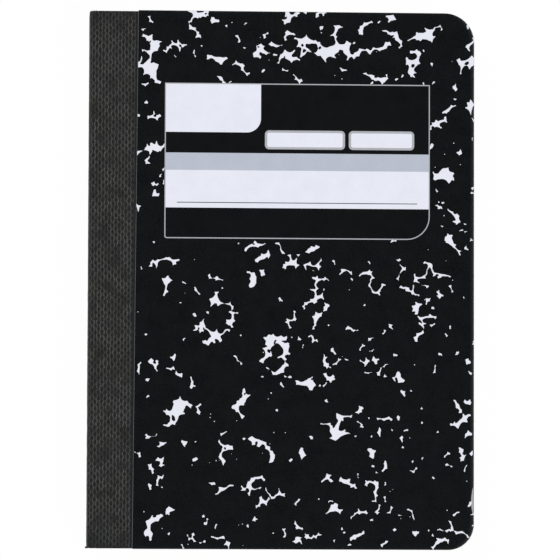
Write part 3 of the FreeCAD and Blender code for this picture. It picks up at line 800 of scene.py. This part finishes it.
def outlines(x, y, field):
    """Closed loops of points on the line where the field is 0, with the bare side on the left."""
    bare = field > 0
    bare_corners = 0 + bare[:-1, :-1] + bare[:-1, 1:] + bare[1:, 1:] + bare[1:, :-1]
    after = {}
    for row, column in zip(*np.nonzero((bare_corners > 0) & (bare_corners < 4))):
        # The square's corners and sides, counterclockwise from the low left corner and the low side
        corners = [bare[row, column], bare[row, column + 1], bare[row + 1, column + 1], bare[row + 1, column]]
        sides = [(row, column, 0), (row, column + 1, 1), (row + 1, column, 0), (row, column, 1)]
        # The line comes in over a side that leads from a bare corner to an inked one, and goes out over
        # the nearest side before it that leads from an inked corner to a bare one
        for entered in range(4):
            if corners[entered] and not corners[entered - 3]:
                left = entered - 1
                while corners[left]:
                    left -= 1
                after[sides[entered]] = sides[left]
    loops = []
    while after:
        crossing = next(iter(after))
        loop = []
        while crossing in after:
            loop.append(crossing_point(x, y, field, crossing))
            crossing = after.pop(crossing)
        loops.append(loop)
    return loops


def crossing_point(x, y, field, crossing):
    """Where the field passes 0 on one side of a grid square."""
    row, column, upright = crossing
    other = (row + 1, column) if upright else (row, column + 1)
    here, there = field[row, column], field[other]
    share = here / (here - there)
    return (x[row, column] + (x[other] - x[row, column]) * share,
            y[row, column] + (y[other] - y[row, column]) * share)


def without_straight(loop):
    """Leaves out the points that lie on the straight line between their neighbours."""
    kept = []
    for before, (x, y), after in zip(loop[-1:] + loop[:-1], loop, loop[1:] + loop[:1]):
        turn = (x - before[0]) * (after[1] - y) - (y - before[1]) * (after[0] - x)
        if abs(turn) > least_fleck_turn:
            kept.append((x, y))
    return kept


def loop_area(loop):
    return sum(a[0] * b[1] - b[0] * a[1] for a, b in zip(loop, loop[1:] + loop[:1])) / 2


def flat_film(name, loops, low, high, material):
    """A thin closed film whose plan is the loops, where a loop inside another is a hole."""
    outline = bpy.data.curves.new(name + "_outline", "CURVE")
    outline.dimensions = "2D"
    outline.fill_mode = "BOTH"
    outline.extrude = (high - low) / 2 * MM
    for loop in loops:
        spline = outline.splines.new("POLY")
        spline.points.add(len(loop) - 1)
        spline.points.foreach_set("co", [c for x, y in loop for c in (x * MM, y * MM, 0.0, 1.0)])
        spline.use_cyclic_u = True
    holder = in_scene(name + "_outline", outline)
    bpy.context.view_layer.update()
    mesh = bpy.data.meshes.new_from_object(holder.evaluated_get(bpy.context.evaluated_depsgraph_get()))
    bpy.data.objects.remove(holder)
    bpy.data.curves.remove(outline)
    shape = bmesh.new()
    shape.from_mesh(mesh)
    bmesh.ops.translate(shape, verts=shape.verts, vec=(0, 0, (low + high) / 2 * MM))
    bmesh.ops.remove_doubles(shape, verts=shape.verts, dist=point_merge_m)
    bmesh.ops.dissolve_degenerate(shape, edges=shape.edges, dist=edge_merge_m)
    bmesh.ops.recalc_face_normals(shape, faces=shape.faces)
    shape.to_mesh(mesh)
    shape.free()
    mesh.name = name
    mesh.materials.clear()
    mesh.materials.append(material)
    return in_scene(name, mesh)


def marbling(name, side, material):
    """The card that the ink left bare on one cover."""
    grid = inked_grid(side)
    bare = blurred(np.clip(grid.bare, -rim_depth, rim_depth), fleck_cell, rim_softness)
    field = np.minimum(bare, field_limit(grid.x, grid.y, side))
    loops = outlines(grid.x, grid.y, field)
    loops = [without_straight(loop) for loop in loops if abs(loop_area(loop)) > least_fleck_area]
    loops += pinholes(grid, side)
    low = z_face - front_fleck_root if side == "front" else z_back_face - back_fleck_stand
    high = (z_face if side == "front" else z_back_face) + fleck_thickness
    return flat_film(name, loops, low, high, material)


# ---- spine tape ----

# Lengths along the tape from the middle of the spine: to its rounded corner, past that, and to the hinge
to_corner = z_top - spine_corner_radius - z_middle
to_flat = to_corner + spine_corner_radius * math.pi / 2
to_hinge = to_flat + x_hinge - x_spine - spine_corner_radius

weave_length = 1.47  # one wave of a ridge, along the spine
weave_swing = 0.17  # how far a ridge swings to each side, as a share of the pitch
weave_drift, weave_drift_length = 0.7, 7.0  # how far the waves fall out of step, in radians
ridge_stray, ridge_stray_length = 0.05, 2.2  # how far a ridge strays, as a share of the pitch
ridge_half_width = 0.19  # as a share of the pitch
ridge_height = 0.055
ridge_fullness = (0.8, 0.25)  # a ridge's height as a share of the full one, and how much that varies
ridge_limits = (0.3, 1.0)  # its least and its most
ridge_seeds = {"front": 61, "back": 71}
tape_column_step = 0.095
tape_row_step = 0.20
hinge_column_step = 0.05
hinge_reach = 0.5  # how far from the hinge line the columns are that close together
cut_columns_reach = 0.5  # how far from the cut edge the even columns end
cut_offsets = (0.42, 0.34, 0.27, 0.21, 0.16, 0.12, 0.08, 0.04, 0.0)  # the columns beside it
askew_from_hinge = 1.0  # where the columns start to fan out to the askew cut edge
paste_from_hinge = 0.3  # where the tape's underside has come down on the board
paste_depth = 0.01  # and how far into its face
spine_highlight, spine_highlight_width = 0.42, 0.30  # how much paler the cloth is painted along the spine's edge, as a highlight
spine_highlight_turn = math.pi / 8  # where the painted highlight is strongest, round the spine's corner, in radians
cut_rim = 0.12  # the pale cut edge of the tape
cut_rim_sharpness = 2.5  # how much more steeply its paleness falls than its height
cut_rim_drop = 0.05
cut_rim_paleness = 0.85
pressed_line = (0.20, 0.35, 0.90)  # beside it, where the pressed line is full, starts to fade and ends
pressed_drop = 0.015
# how dark the painted shade along the pressed line is
pressed_shade_darkness = 0.75
cut_groove = 0.70  # the ridges come up to their full height over this, beside the cut edge
ridge_end = 0.35  # and over this from the head and the tail
end_drop, end_drop_reach = 0.04, 0.15  # how far the tape's very ends bend down
end_fray = 0.05
end_fray_reach = 0.4
end_fray_length = 3.0
end_fray_seeds = {"front": 7, "back": 8}
end_shades = ((0.5, 0.5), (0.45, 6.0))  # how much darker the ends are, and over how far


def ridge_share(across, along, seed):
    """How high the weave stands, from 0 in a hollow to 1 on a ridge."""
    shape = np.broadcast(across, along).shape
    drift = noise_field(shape, tape_row_step, weave_drift_length, seed, tape_column_step)
    stray = noise_field(shape, tape_row_step, ridge_stray_length, seed + 1, tape_column_step)
    swell = noise_field(shape, tape_row_step, ridge_stray_length, seed + 2, tape_column_step)
    across = across / rib_pitch + ridge_stray * stray
    turn = 2 * math.pi * along / weave_length + weave_drift * drift
    best = np.zeros(shape)
    nearest = np.floor(across)
    for step in (-1, 0, 1, 2):
        ridge = nearest + step
        swing = weave_swing * np.where(ridge % 2 == 0, 1.0, -1.0) * np.sin(turn)
        best = np.maximum(best, np.exp(-((across - ridge - swing) / ridge_half_width) ** 2))
    return best * np.clip(ridge_fullness[0] + ridge_fullness[1] * swell, *ridge_limits)


def tape_line(places, depth):
    """Points of the tape's end view, a depth inside it, at distances from the middle of the spine."""
    radius = spine_corner_radius
    turn = np.clip((places - to_corner) / radius, 0.0, math.pi / 2)
    over = np.maximum(places - to_flat, 0.0)
    x = x_spine + radius - (radius - depth) * np.cos(turn) + over
    z = z_middle + np.minimum(places, to_corner) + (radius - depth) * np.sin(turn)
    return x, z


def tape_places(length):
    """Distances from the middle of the spine, closer together at the hinge and beside the cut edge."""
    before, after = to_hinge - hinge_reach, to_hinge + hinge_reach
    places = between(0.0, before, tape_column_step)
    places += between(before, after, hinge_column_step)[1:]
    places += between(after, length - cut_columns_reach, tape_column_step)[1:]
    return np.array(places + [length - offset for offset in cut_offsets])


def tape_underside(rim, rows, columns):
    """The rim's faces down to the points under it, which follow the grid's, and the faces between those."""
    under = {point: rows * columns + index for index, point in enumerate(rim)}
    last_row = (rows - 1) * columns
    faces = band_faces(rim, [under[point] for point in rim])
    for column in range(1, columns - 2):
        quad = (column, column + 1, last_row + column + 1, last_row + column)
        faces.append(tuple(under[point] for point in quad))
    spine_side = [under[row * columns] for row in range(rows)]
    cut_side = [under[row * columns + columns - 1] for row in range(rows)]
    faces += fan_faces(spine_side, under[1], under[last_row + 1])
    return faces + fan_faces(cut_side, under[columns - 2], under[last_row + columns - 2])


def tape_grid(side):
    """The outer face's grid: distances from the middle of the spine, places along it, and the cut edge."""
    length = to_hinge + sum(tape_reaches[side]) / 2 - (x_hinge - x_spine)
    places = tape_places(length)[None, :]
    along = np.array(between(spine_low.y, spine_high.y, tape_row_step))[:, None]
    edge = to_hinge + tape_reach(along, side) - x_hinge
    places = places * (1 + (edge / length - 1) * smooth_step(places, to_hinge + askew_from_hinge, length))
    return places, along, edge


def tape_solid(places, y, depth, rim):
    """The front half's points and faces: the outer face, then its rim once more on the underside."""
    x, z = tape_line(places, depth)
    under_x, under_z = tape_line(places, tape_thickness)
    pasted = smooth_step(places, to_hinge, to_hinge + paste_from_hinge)
    under_z = under_z + pasted * (z_face - paste_depth - (z_top - tape_thickness))
    outer = np.stack([x, y, z], -1).reshape(-1, 3)
    under = np.stack([under_x, y, under_z], -1).reshape(-1, 3)
    return np.concatenate([outer, under[rim]]), grid_faces(*x.shape) + tape_underside(rim, *x.shape)


def tape_mesh(name, side, material):
    """Half of the tape, from the middle of the spine round to its cut edge on one cover."""
    places, along, edge = tape_grid(side)
    from_cut = edge - places
    from_end = np.minimum(along - spine_low.y, spine_high.y - along)
    from_highlight = places - to_corner - spine_corner_radius * spine_highlight_turn
    full, fades, ends = pressed_line
    pressed_and_shaded = smooth_step(from_cut, cut_rim, full) * (1 - smooth_step(from_cut, fades, ends))
    pale = fading(from_cut, cut_rim)
    ridge = ridge_share(places, along, ridge_seeds[side])
    ridge = ridge * smooth_step(from_cut, cut_rim, cut_groove) * smooth_step(from_end, 0.0, ridge_end)
    depth = ridge_height * (1 - ridge) + pressed_drop * pressed_and_shaded + cut_rim_drop * pale ** 2
    depth = depth + end_drop * fading(from_end, end_drop_reach) ** 2
    waver = noise_field(depth.shape, tape_row_step, end_fray_length, end_fray_seeds[side])
    y = along - np.sign(along) * end_fray * np.abs(waver) * fading(from_end, end_fray_reach)
    rim = rim_of_grid(*depth.shape)
    points, faces = tape_solid(places, y, depth, rim)
    if side == "back":
        points = points * [1, 1, -1] + [0, 0, 2 * z_middle]
    piece = mesh_piece(name, points, faces, material)

    def on_rim_too(values):
        flat = np.broadcast_to(values, depth.shape).reshape(-1)
        return np.concatenate([flat, flat[rim]])

    # Painted shade at the tape's ends, where it rounds down, joins the painted shade of the pressed line
    end_shade = np.maximum(*(darker * fading(from_end, reach) for darker, reach in end_shades))
    point_values(piece, "ridge", on_rim_too(ridge))
    # The painted highlight round the spine's corner
    point_values(piece, "rubbed_and_highlit", on_rim_too(spine_highlight * np.exp(-(from_highlight / spine_highlight_width) ** 2)))
    point_values(piece, "cut_line", on_rim_too(cut_rim_paleness * np.clip(cut_rim_sharpness * pale, 0, 1)))
    point_values(piece, "pressed_and_shaded", on_rim_too(np.maximum(pressed_and_shaded * pressed_shade_darkness, end_shade)))
    flat_places(piece, np.stack([on_rim_too(places), on_rim_too(y)], -1))
    piece.data.set_sharp_from_angle(angle=math.radians(60))
    return piece


# ---- loose thread ends ----

# How far each thread end stands out of the tape, where the spine meets the tail
fray_ways = [(-0.30, 0.34, 0.05), (-0.38, 0.20, -0.06), (-0.34, 0.06, 0.02), (-0.18, -0.08, -0.10)]
fray_root = 0.15  # how deep in the tape a thread end starts
fray_step = 0.12  # how far below the last one
fray_droop = 0.10
fray_radius = 0.095
fray_thinning = 0.65  # how much thinner it is at its tip
fray_sides = 6
fray_stations = 6


def fray_mesh(name, material):
    """Short thread ends that have come loose from the tape."""
    corner = Vector((x_spine + fray_root, spine_low.y + fray_root, z_top - spine_corner_radius))
    down = Vector((0, 0, -1))
    turns = [2 * math.pi * side / fray_sides for side in range(fray_sides)]
    points = []
    faces = []
    for number, way in enumerate(fray_ways):
        along = Vector(way) + Vector((-fray_root, -fray_root / 2, 0))
        across = down.cross(along).normalized()
        up = across.cross(along).normalized()
        faces += rod_faces(len(points), fray_stations, fray_sides)
        for station in range(fray_stations):
            share = station / (fray_stations - 1)
            middle = corner + along * share + down * (fray_step * number + fray_droop * share ** 2)
            radius = fray_radius * (1 - fray_thinning * share ** 2)
            points += [middle + (across * math.cos(turn) + up * math.sin(turn)) * radius for turn in turns]
    return mesh_piece(name, points, faces, material)


# ---- leaves ----

leaf_corner_steps = 9
leaf_corner_run = 2.0  # how far past a leaf's corner the next points are
leaf_middle_x = -8.0  # points are also set here, along each leaf
fold_corner = 0.75  # the radius of a fold's two corners
fold_roundness = 0.98  # in the innermost folds it is this share of half their height
fold_turn_step = 18
fold_clearance = 0.02
swell_start = x_spine + 1.85  # where the stack swells to fill the fold
swell_end = x_spine + 1.25
swell_step = 0.15
sheet_clearance = 0.002  # how far the outermost sheet stays inside the stack, as a share of half its height
sheet_gaps = (0.08, 0.12, 0.16, 0.30)  # as shares of a sheet's thickness
least_sheet_share = 0.004  # the innermost sheet's inner side, as a share of half the stack's height
fore_unevenness = 0.035  # how much shorter a sheet may be at its fore edge
end_unevenness = 0.03  # and at its head and tail


def fold_points(share, trim):
    """One side of a folded sheet in the end view, from its upper fore edge round to its lower one."""
    block_half = (z_block_high - z_block_low) / 2
    fold_half = (block_high.z - block_low.z) / 2
    x_outer = block_low.x + (1 - share) * block_half
    corner = min(fold_corner, fold_roundness * share * block_half)
    radius = tail_corner_radius - leaf_inset
    x_end = x_fore - leaf_inset - trim
    turns = [math.radians(90) * step / leaf_corner_steps for step in range(leaf_corner_steps)]
    leg = [x_end - radius + radius * math.cos(turn) for turn in turns]
    leg += [x_end - radius - leaf_corner_run, leaf_middle_x]
    swell = between(swell_start, swell_end, swell_step)
    leg += [x for x in swell if x > x_outer + corner + fold_clearance]

    def half(x):
        swollen = float(smooth_step(-x, -swell_start, -swell_end))
        return share * (block_half + (fold_half - block_half) * swollen)

    upper = [(x, half(x)) for x in leg]
    top = half(x_outer + corner)
    for turn in (math.radians(angle) for angle in range(0, 91, fold_turn_step)):
        upper.append((x_outer + corner - corner * math.sin(turn), top - corner + corner * math.cos(turn)))
    lower = [(x, -z) for x, z in upper[::-1]]
    return [(x, z_middle + z) for x, z in upper + lower]


def shortened(line, count):
    """The line, without points where the swell starts when it has more than the count."""
    place = leaf_corner_steps + 2
    while len(line) > count:
        del line[-1 - place], line[place]
    return line


def sheets_mesh(name, material):
    """Forty sheets folded once and nested, as the leaves of a sewn book are."""
    chance = random.Random(3)
    points = []
    faces = []
    tones = []
    for index in range(sheet_count):
        gap = chance.choice(sheet_gaps) / sheet_count
        outer_share = (sheet_count - index) / sheet_count - sheet_clearance
        inner_share = max(outer_share - 1 / sheet_count + gap, least_sheet_share)
        trim = chance.uniform(0.0, fore_unevenness)
        shorter = chance.uniform(0.0, end_unevenness)
        tone = chance.uniform(0.0, 1.0)
        outer, inner = fold_points(outer_share, trim), fold_points(inner_share, trim)
        count = min(len(outer), len(inner))
        faces += rod_faces(len(points), count, 4)
        tones += [tone] * 4 * count
        for (x, z), (x_in, z_in) in zip(shortened(outer, count), shortened(inner, count)):
            x_plan = max(x, x_in) + trim
            high = float(half_height(x_plan, True, leaf_inset)) - shorter
            low = shorter - float(half_height(x_plan, False, leaf_inset))
            points += [(x, low, z), (x, high, z), (x_in, high, z_in), (x_in, low, z_in)]
    piece = mesh_piece(name, points, faces, material, smooth=False)
    point_values(piece, "leaf_tone", tones)
    return piece


ruling_pitch = 6.35
ruling_from_head = 15.0
ruling_count = 15
ruling_width = 0.22
ruling_unevenness = 0.15
ruling_step = 4.0
ruling_starts = 0.4  # from the board's edge beside the spine
ruling_ends = 0.6  # from the fore edge
ruling_levels = (0.001, 0.006)  # how far inside the stack's height a line starts and ends


def ruling_mesh(name, material, low, high):
    """Faint ruled lines across the first or last page."""
    chance = random.Random(17)
    places = between(x_board + ruling_starts, x_fore - ruling_ends, ruling_step)
    points = []
    faces = []
    for index in range(ruling_count):
        y = y_head - ruling_from_head - ruling_pitch * index
        faces += rod_faces(len(points), len(places), 4)
        for x in places:
            half = ruling_width / 2 * chance.uniform(1 - ruling_unevenness, 1 + ruling_unevenness)
            points += [(x, y - half, low), (x, y + half, low), (x, y + half, high), (x, y - half, high)]
    return mesh_piece(name, points, faces, material, smooth=False)


# ---- the scuff at the fore edge ----

scuff_from_tail = 7.4
scuff_length = 5.9
scuff_width = 0.42
scuff_from_fore = 0.08
scuff_tip_inset = 0.06  # how much farther in its two tips are
scuff_tip_width = 0.03
scuff_fullness = 0.8  # below 1, it is fuller than a half wave
scuff_unevenness = 0.03
scuff_step = 0.05  # as a share of its length
scuff_levels = (-0.03, 0.02)  # from the printed face


def scuff_loop():
    """A crescent where the print is rubbed off beside the fore edge, with a ragged inner side."""
    chance = random.Random(41)
    inner = []
    outer = []
    for share in between(0.0, 1.0, scuff_step):
        y = y_tail + scuff_from_tail + scuff_length * share
        swell = math.sin(math.pi * share) ** scuff_fullness
        ragged = chance.uniform(-scuff_unevenness, scuff_unevenness) if 0 < share < 1 else 0.0
        outer.append((x_fore - scuff_from_fore - scuff_tip_inset * (1 - swell), y))
        tip = scuff_from_fore + scuff_tip_inset + scuff_tip_width
        inner.append((x_fore - tip - (scuff_width + ragged) * swell, y))
    return outer + inner[::-1]


# ---- scene ----

floor_half = 3000.0
floor_whites = ((0.86, 0.86, 0.86, 1.0), (0.88, 0.88, 0.88, 1.0))
floor_whiteness = 0.975  # how much of its light is plain white to the camera
floor_drop = 0.7  # the floor is clear of the back cover when that is folded right back
camera_distance = 900.0
camera_lens = 272.8
camera_tilt = (3.542, -3.29, 0.197)
camera_aim = (-0.334, -0.118, 8.0)
lamp_place_m = (0.9, -0.9, 1.3)  # in metres, as the lamps' size is
lamp_size_m = 0.9
lamp_watts = 18.8
world_light = 0.25  # how bright the even light is, where 1 is white


def add_camera():
    camera = bpy.data.cameras.new("camera")
    camera.lens = camera_lens
    camera.clip_start = 0.05
    camera.clip_end = 20.0
    holder = in_scene("camera", camera)
    turn = Euler([math.radians(angle) for angle in camera_tilt], "XYZ")
    back = turn.to_matrix() @ Vector((0, 0, 1))
    holder.rotation_euler = turn
    holder.location = (Vector(camera_aim) + back * camera_distance) * MM
    bpy.context.scene.camera = holder


def add_lamp(name, side):
    """A square soft lamp, on the tail's right with side 1 or across from that with side -1."""
    lamp = bpy.data.lights.new(name, "AREA")
    lamp.shape = "RECTANGLE"
    lamp.size = lamp.size_y = lamp_size_m
    lamp.energy = lamp_watts
    holder = in_scene(name, lamp)
    holder.location = Vector(lamp_place_m) * Vector((side, side, 1))
    holder.rotation_euler = holder.location.to_track_quat("Z", "Y").to_euler()


def add_world():
    """An even light all round, which the camera sees as white."""
    world = bpy.data.worlds.new("studio")
    world.use_nodes = True
    tree = world.node_tree
    seen = add_node(tree, "LightPath").outputs["Is Camera Ray"]
    shares = {0: seen, 1: 1.0 - world_light, 2: world_light}
    strength = add_node(tree, "Math", shares, operation="MULTIPLY_ADD").outputs["Value"]
    background = tree.nodes["Background"].inputs
    background["Color"].default_value = (1.0, 1.0, 1.0, 1.0)
    tree.links.new(strength, background["Strength"])
    bpy.context.scene.world = world


def add_floor():
    corners = [(-1, -1), (1, -1), (1, 1), (-1, 1)]
    points = [(x * floor_half, y * floor_half, -floor_drop) for x, y in corners]
    mesh_piece("floor", points, [(0, 1, 2, 3)], floor_paint(), smooth=False)


def finish_piece(piece, slot, *nodes):
    """Hides the CAD nodes that a piece stands for. The slot is not used."""
    if nodes:
        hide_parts(*nodes)
    return piece


bpy.context.scene.view_settings.view_transform = "Standard"

card = inked_card()
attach(finish_piece(board_mesh("front_card", "front", card), "cover_board", "front_cover"), "front_board")
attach(finish_piece(board_mesh("back_card", "back", card), "cover_board", "back_cover"), "back_board")

bare = printed_film("bare_card", srgb(224, 226, 236), srgb(233, 235, 245))
front_flecks = marbling("front_flecks", "front", bare)
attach(finish_piece(front_flecks, "bare_card", "front_marbling"), "front_board")
back_flecks = marbling("back_flecks", "back", bare)
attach(finish_piece(back_flecks, "bare_card", "back_marbling"), "back_board")

rubbed_and_highlit = printed_film("rubbed_edge", srgb(150, 156, 156), srgb(176, 182, 182))
scuff_low, scuff_high = (z_face + level for level in scuff_levels)
scuff = flat_film("fore_edge_scuff", [scuff_loop()], scuff_low, scuff_high, rubbed_and_highlit)
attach(finish_piece(scuff, "bare_card"), "front_board")

tape = woven_tape()
front_tape = tape_mesh("front_tape", "front", tape)
finish_piece(front_tape, "tape_cloth", "spine_tape", "front_tape_flange")
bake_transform(front_tape)
back_tape = tape_mesh("back_tape", "back", tape)
finish_piece(back_tape, "tape_cloth", "back_tape_flange")
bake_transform(back_tape)

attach(finish_piece(fray_mesh("tail_fray", frayed_cloth()), "tape_cloth"), "leaves")

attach(finish_piece(sheets_mesh("folded_sheets", leaf_paper()), "leaf_paper", "page_block"), "leaves")
blue = ruling_ink()
near, far = ruling_levels
first_page = ruling_mesh("first_page_ruling", blue, z_block_high - far, z_block_high - near)
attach(finish_piece(first_page, "leaf_paper"), "leaves")
last_page = ruling_mesh("last_page_ruling", blue, z_block_low + near, z_block_low + far)
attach(finish_piece(last_page, "leaf_paper"), "leaves")

# The CAD nodes that are shown as they are, with a finish of their own
white = printed_film("white_print", srgb(224, 226, 237), srgb(234, 236, 247))
grey = printed_film("grey_print", srgb(178, 184, 197), srgb(188, 194, 207))
line_grey = printed_film("line_print", srgb(166, 169, 174), srgb(180, 183, 188))
inside = lining_paper()
finishes = {
    "label_border": line_grey,
    "label_title_outlines": line_grey,
    "label_title_bars": white,
    "label_tab": white,
    "label_white_band": white,
    "label_grey_band": grey,
    "label_panel": printed_film("black_print", srgb(6, 8, 10), srgb(11, 13, 15), 0.08),
    "label_rule_line": printed_film("rule_print", srgb(70, 72, 82), srgb(84, 86, 96)),
    "front_lining": inside,
    "back_lining": inside,
    "sewing_thread": cotton_thread(),
}
for node, material in finishes.items():
    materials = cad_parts[node].data.materials
    materials.clear()
    materials.append(material)

add_floor()
add_world()
add_lamp("head_left_softbox", -1)
add_lamp("tail_right_softbox", 1)
add_camera()
